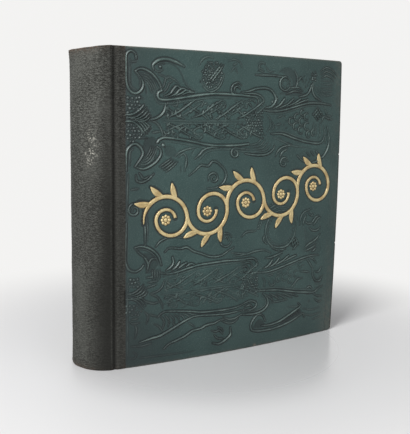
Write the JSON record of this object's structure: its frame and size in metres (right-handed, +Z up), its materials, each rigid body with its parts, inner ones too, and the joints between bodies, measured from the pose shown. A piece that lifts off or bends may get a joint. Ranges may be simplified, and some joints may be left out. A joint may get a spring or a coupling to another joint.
{
  "type": "postcard album",
  "caption": "Standing postcard album: bowed cloth-covered boards with blind and gilt relief, a dark rounded cloth back, and slotted card leaves that fan open on linen hinges.",
  "frame": {"origin": "middle of the base rectangle that the closed album stands on", "axes": "+Z up from tail to head, +X from the back to the fore edge, +Y from front to back cover"},
  "size_m": [0.352, 0.0962, 0.36],
  "materials": {
    "board": "matte",
    "green_cloth": "matte",
    "dark_cloth": "matte",
    "endpaper": "matte",
    "linen": "matte",
    "gilt": "satin",
    "inlay_card": "matte",
    "mull_cloth": "matte",
    "band_cloth": "matte",
    "leaf_card": "matte"
  },
  "bodies": {
    "root": {"spine_cloth": "dark_cloth", "spine_stiffener": "inlay_card", "front_joint_cloth": "dark_cloth", "back_joint_cloth": "dark_cloth", "front_inner_joint": "linen", "back_inner_joint": "linen", "leaf_guards": "linen", "sewing_tapes": "mull_cloth", "sewing_threads": "mull_cloth", "mull": "mull_cloth", "spine_lining": "inlay_card", "head_band": "band_cloth", "tail_band": "band_cloth"},
    "front_cover": {"front_board": "board", "front_cover_cloth": "green_cloth", "front_cloth_lap": "dark_cloth", "front_pastedown": "endpaper", "gilt_ornament": "gilt"},
    "back_cover": {"back_board": "board", "back_cover_cloth": "green_cloth", "back_cloth_lap": "dark_cloth", "back_pastedown": "endpaper"},
    "front_flyleaf": {"front_flyleaf": "endpaper"},
    "back_flyleaf": {"back_flyleaf": "endpaper"},
    "leaf_01": {"leaf_01": "leaf_card"},
    "leaf_02": {"leaf_02": "leaf_card"},
    "leaf_03": {"leaf_03": "leaf_card"},
    "leaf_04": {"leaf_04": "leaf_card"},
    "leaf_05": {"leaf_05": "leaf_card"},
    "leaf_06": {"leaf_06": "leaf_card"},
    "leaf_07": {"leaf_07": "leaf_card"},
    "leaf_08": {"leaf_08": "leaf_card"},
    "leaf_09": {"leaf_09": "leaf_card"},
    "leaf_10": {"leaf_10": "leaf_card"},
    "leaf_11": {"leaf_11": "leaf_card"},
    "leaf_12": {"leaf_12": "leaf_card"},
    "leaf_13": {"leaf_13": "leaf_card"},
    "leaf_14": {"leaf_14": "leaf_card"},
    "leaf_15": {"leaf_15": "leaf_card"},
    "leaf_16": {"leaf_16": "leaf_card"},
    "leaf_17": {"leaf_17": "leaf_card"},
    "leaf_18": {"leaf_18": "leaf_card"},
    "leaf_19": {"leaf_19": "leaf_card"},
    "leaf_20": {"leaf_20": "leaf_card"},
    "leaf_21": {"leaf_21": "leaf_card"},
    "leaf_22": {"leaf_22": "leaf_card"},
    "leaf_23": {"leaf_23": "leaf_card"},
    "leaf_24": {"leaf_24": "leaf_card"},
    "leaf_25": {"leaf_25": "leaf_card"},
    "leaf_26": {"leaf_26": "leaf_card"},
    "leaf_27": {"leaf_27": "leaf_card"},
    "leaf_28": {"leaf_28": "leaf_card"}
  },
  "joints": [
    {"name": "front_cover_hinge", "type": "hinge", "parent": "root", "child": "front_cover", "pos_m": [-0.145, -0.03885, 0], "axis": [0, 0, -1], "range_deg": [0, 180], "deforming": ["front_joint_cloth", "front_inner_joint"]},
    {"name": "back_cover_hinge", "type": "hinge", "parent": "root", "child": "back_cover", "pos_m": [-0.145, 0.03915, 0], "axis": [0, 0, 1], "range_deg": [0, 180], "deforming": ["back_joint_cloth", "back_inner_joint"]},
    {"name": "front_flyleaf_hinge", "type": "hinge", "parent": "root", "child": "front_flyleaf", "pos_m": [-0.143, -0.03401, 0], "axis": [0, 0, -1], "range_deg": [0, 108]},
    {"name": "back_flyleaf_hinge", "type": "hinge", "parent": "root", "child": "back_flyleaf", "pos_m": [-0.143, 0.03431, 0], "axis": [0, 0, 1], "range_deg": [0, 108]},
    {"name": "leaf_01_hinge", "type": "hinge", "parent": "root", "child": "leaf_01", "pos_m": [-0.13835, -0.03273, 0], "axis": [0, 0, -1], "range_deg": [0, 75.1]},
    {"name": "leaf_02_hinge", "type": "hinge", "parent": "root", "child": "leaf_02", "pos_m": [-0.13835, -0.0303, 0], "axis": [0, 0, -1], "range_deg": [0, 69.5]},
    {"name": "leaf_03_hinge", "type": "hinge", "parent": "root", "child": "leaf_03", "pos_m": [-0.13835, -0.02786, 0], "axis": [0, 0, -1], "range_deg": [0, 63.9]},
    {"name": "leaf_04_hinge", "type": "hinge", "parent": "root", "child": "leaf_04", "pos_m": [-0.13835, -0.02542, 0], "axis": [0, 0, -1], "range_deg": [0, 58.4]},
    {"name": "leaf_05_hinge", "type": "hinge", "parent": "root", "child": "leaf_05", "pos_m": [-0.13835, -0.02299, 0], "axis": [0, 0, -1], "range_deg": [0, 52.8]},
    {"name": "leaf_06_hinge", "type": "hinge", "parent": "root", "child": "leaf_06", "pos_m": [-0.13835, -0.02055, 0], "axis": [0, 0, -1], "range_deg": [0, 47.3]},
    {"name": "leaf_07_hinge", "type": "hinge", "parent": "root", "child": "leaf_07", "pos_m": [-0.13835, -0.01812, 0], "axis": [0, 0, -1], "range_deg": [0, 41.7]},
    {"name": "leaf_08_hinge", "type": "hinge", "parent": "root", "child": "leaf_08", "pos_m": [-0.13835, -0.01568, 0], "axis": [0, 0, -1], "range_deg": [0, 36.2]},
    {"name": "leaf_09_hinge", "type": "hinge", "parent": "root", "child": "leaf_09", "pos_m": [-0.13835, -0.01325, 0], "axis": [0, 0, -1], "range_deg": [0, 30.6]},
    {"name": "leaf_10_hinge", "type": "hinge", "parent": "root", "child": "leaf_10", "pos_m": [-0.13835, -0.01081, 0], "axis": [0, 0, -1], "range_deg": [0, 25.1]},
    {"name": "leaf_11_hinge", "type": "hinge", "parent": "root", "child": "leaf_11", "pos_m": [-0.13835, -0.00838, 0], "axis": [0, 0, -1], "range_deg": [0, 19.5]},
    {"name": "leaf_12_hinge", "type": "hinge", "parent": "root", "child": "leaf_12", "pos_m": [-0.13835, -0.00594, 0], "axis": [0, 0, -1], "range_deg": [0, 13.9]},
    {"name": "leaf_13_hinge", "type": "hinge", "parent": "root", "child": "leaf_13", "pos_m": [-0.13835, -0.0035, 0], "axis": [0, 0, -1], "range_deg": [0, 8.4]},
    {"name": "leaf_14_hinge", "type": "hinge", "parent": "root", "child": "leaf_14", "pos_m": [-0.13835, -0.00107, 0], "axis": [0, 0, -1], "range_deg": [0, 2.8]},
    {"name": "leaf_15_hinge", "type": "hinge", "parent": "root", "child": "leaf_15", "pos_m": [-0.13835, 0.00137, 0], "axis": [0, 0, 1], "range_deg": [0, 2.8]},
    {"name": "leaf_16_hinge", "type": "hinge", "parent": "root", "child": "leaf_16", "pos_m": [-0.13835, 0.0038, 0], "axis": [0, 0, 1], "range_deg": [0, 8.4]},
    {"name": "leaf_17_hinge", "type": "hinge", "parent": "root", "child": "leaf_17", "pos_m": [-0.13835, 0.00624, 0], "axis": [0, 0, 1], "range_deg": [0, 13.9]},
    {"name": "leaf_18_hinge", "type": "hinge", "parent": "root", "child": "leaf_18", "pos_m": [-0.13835, 0.00868, 0], "axis": [0, 0, 1], "range_deg": [0, 19.5]},
    {"name": "leaf_19_hinge", "type": "hinge", "parent": "root", "child": "leaf_19", "pos_m": [-0.13835, 0.01111, 0], "axis": [0, 0, 1], "range_deg": [0, 25.1]},
    {"name": "leaf_20_hinge", "type": "hinge", "parent": "root", "child": "leaf_20", "pos_m": [-0.13835, 0.01355, 0], "axis": [0, 0, 1], "range_deg": [0, 30.6]},
    {"name": "leaf_21_hinge", "type": "hinge", "parent": "root", "child": "leaf_21", "pos_m": [-0.13835, 0.01598, 0], "axis": [0, 0, 1], "range_deg": [0, 36.2]},
    {"name": "leaf_22_hinge", "type": "hinge", "parent": "root", "child": "leaf_22", "pos_m": [-0.13835, 0.01842, 0], "axis": [0, 0, 1], "range_deg": [0, 41.7]},
    {"name": "leaf_23_hinge", "type": "hinge", "parent": "root", "child": "leaf_23", "pos_m": [-0.13835, 0.02085, 0], "axis": [0, 0, 1], "range_deg": [0, 47.3]},
    {"name": "leaf_24_hinge", "type": "hinge", "parent": "root", "child": "leaf_24", "pos_m": [-0.13835, 0.02329, 0], "axis": [0, 0, 1], "range_deg": [0, 52.8]},
    {"name": "leaf_25_hinge", "type": "hinge", "parent": "root", "child": "leaf_25", "pos_m": [-0.13835, 0.02572, 0], "axis": [0, 0, 1], "range_deg": [0, 58.4]},
    {"name": "leaf_26_hinge", "type": "hinge", "parent": "root", "child": "leaf_26", "pos_m": [-0.13835, 0.02816, 0], "axis": [0, 0, 1], "range_deg": [0, 63.9]},
    {"name": "leaf_27_hinge", "type": "hinge", "parent": "root", "child": "leaf_27", "pos_m": [-0.13835, 0.0306, 0], "axis": [0, 0, 1], "range_deg": [0, 69.5]},
    {"name": "leaf_28_hinge", "type": "hinge", "parent": "root", "child": "leaf_28", "pos_m": [-0.13835, 0.03303, 0], "axis": [0, 0, 1], "range_deg": [0, 75.1]}
  ],
  "couplings": [
    {"joint": "front_flyleaf_hinge", "follows": "front_cover_hinge", "ratio": 0.6},
    {"joint": "back_flyleaf_hinge", "follows": "back_cover_hinge", "ratio": 0.6},
    {"joint": "leaf_01_hinge", "follows": "front_cover_hinge", "ratio": 0.41667},
    {"joint": "leaf_02_hinge", "follows": "front_cover_hinge", "ratio": 0.3858},
    {"joint": "leaf_03_hinge", "follows": "front_cover_hinge", "ratio": 0.35494},
    {"joint": "leaf_04_hinge", "follows": "front_cover_hinge", "ratio": 0.32407},
    {"joint": "leaf_05_hinge", "follows": "front_cover_hinge", "ratio": 0.29321},
    {"joint": "leaf_06_hinge", "follows": "front_cover_hinge", "ratio": 0.26235},
    {"joint": "leaf_07_hinge", "follows": "front_cover_hinge", "ratio": 0.23148},
    {"joint": "leaf_08_hinge", "follows": "front_cover_hinge", "ratio": 0.20062},
    {"joint": "leaf_09_hinge", "follows": "front_cover_hinge", "ratio": 0.16975},
    {"joint": "leaf_10_hinge", "follows": "front_cover_hinge", "ratio": 0.13889},
    {"joint": "leaf_11_hinge", "follows": "front_cover_hinge", "ratio": 0.10802},
    {"joint": "leaf_12_hinge", "follows": "front_cover_hinge", "ratio": 0.07716},
    {"joint": "leaf_13_hinge", "follows": "front_cover_hinge", "ratio": 0.0463},
    {"joint": "leaf_14_hinge", "follows": "front_cover_hinge", "ratio": 0.01543},
    {"joint": "leaf_15_hinge", "follows": "back_cover_hinge", "ratio": 0.01543},
    {"joint": "leaf_16_hinge", "follows": "back_cover_hinge", "ratio": 0.0463},
    {"joint": "leaf_17_hinge", "follows": "back_cover_hinge", "ratio": 0.07716},
    {"joint": "leaf_18_hinge", "follows": "back_cover_hinge", "ratio": 0.10802},
    {"joint": "leaf_19_hinge", "follows": "back_cover_hinge", "ratio": 0.13889},
    {"joint": "leaf_20_hinge", "follows": "back_cover_hinge", "ratio": 0.16975},
    {"joint": "leaf_21_hinge", "follows": "back_cover_hinge", "ratio": 0.20062},
    {"joint": "leaf_22_hinge", "follows": "back_cover_hinge", "ratio": 0.23148},
    {"joint": "leaf_23_hinge", "follows": "back_cover_hinge", "ratio": 0.26235},
    {"joint": "leaf_24_hinge", "follows": "back_cover_hinge", "ratio": 0.29321},
    {"joint": "leaf_25_hinge", "follows": "back_cover_hinge", "ratio": 0.32407},
    {"joint": "leaf_26_hinge", "follows": "back_cover_hinge", "ratio": 0.35494},
    {"joint": "leaf_27_hinge", "follows": "back_cover_hinge", "ratio": 0.3858},
    {"joint": "leaf_28_hinge", "follows": "back_cover_hinge", "ratio": 0.41667}
  ]
}
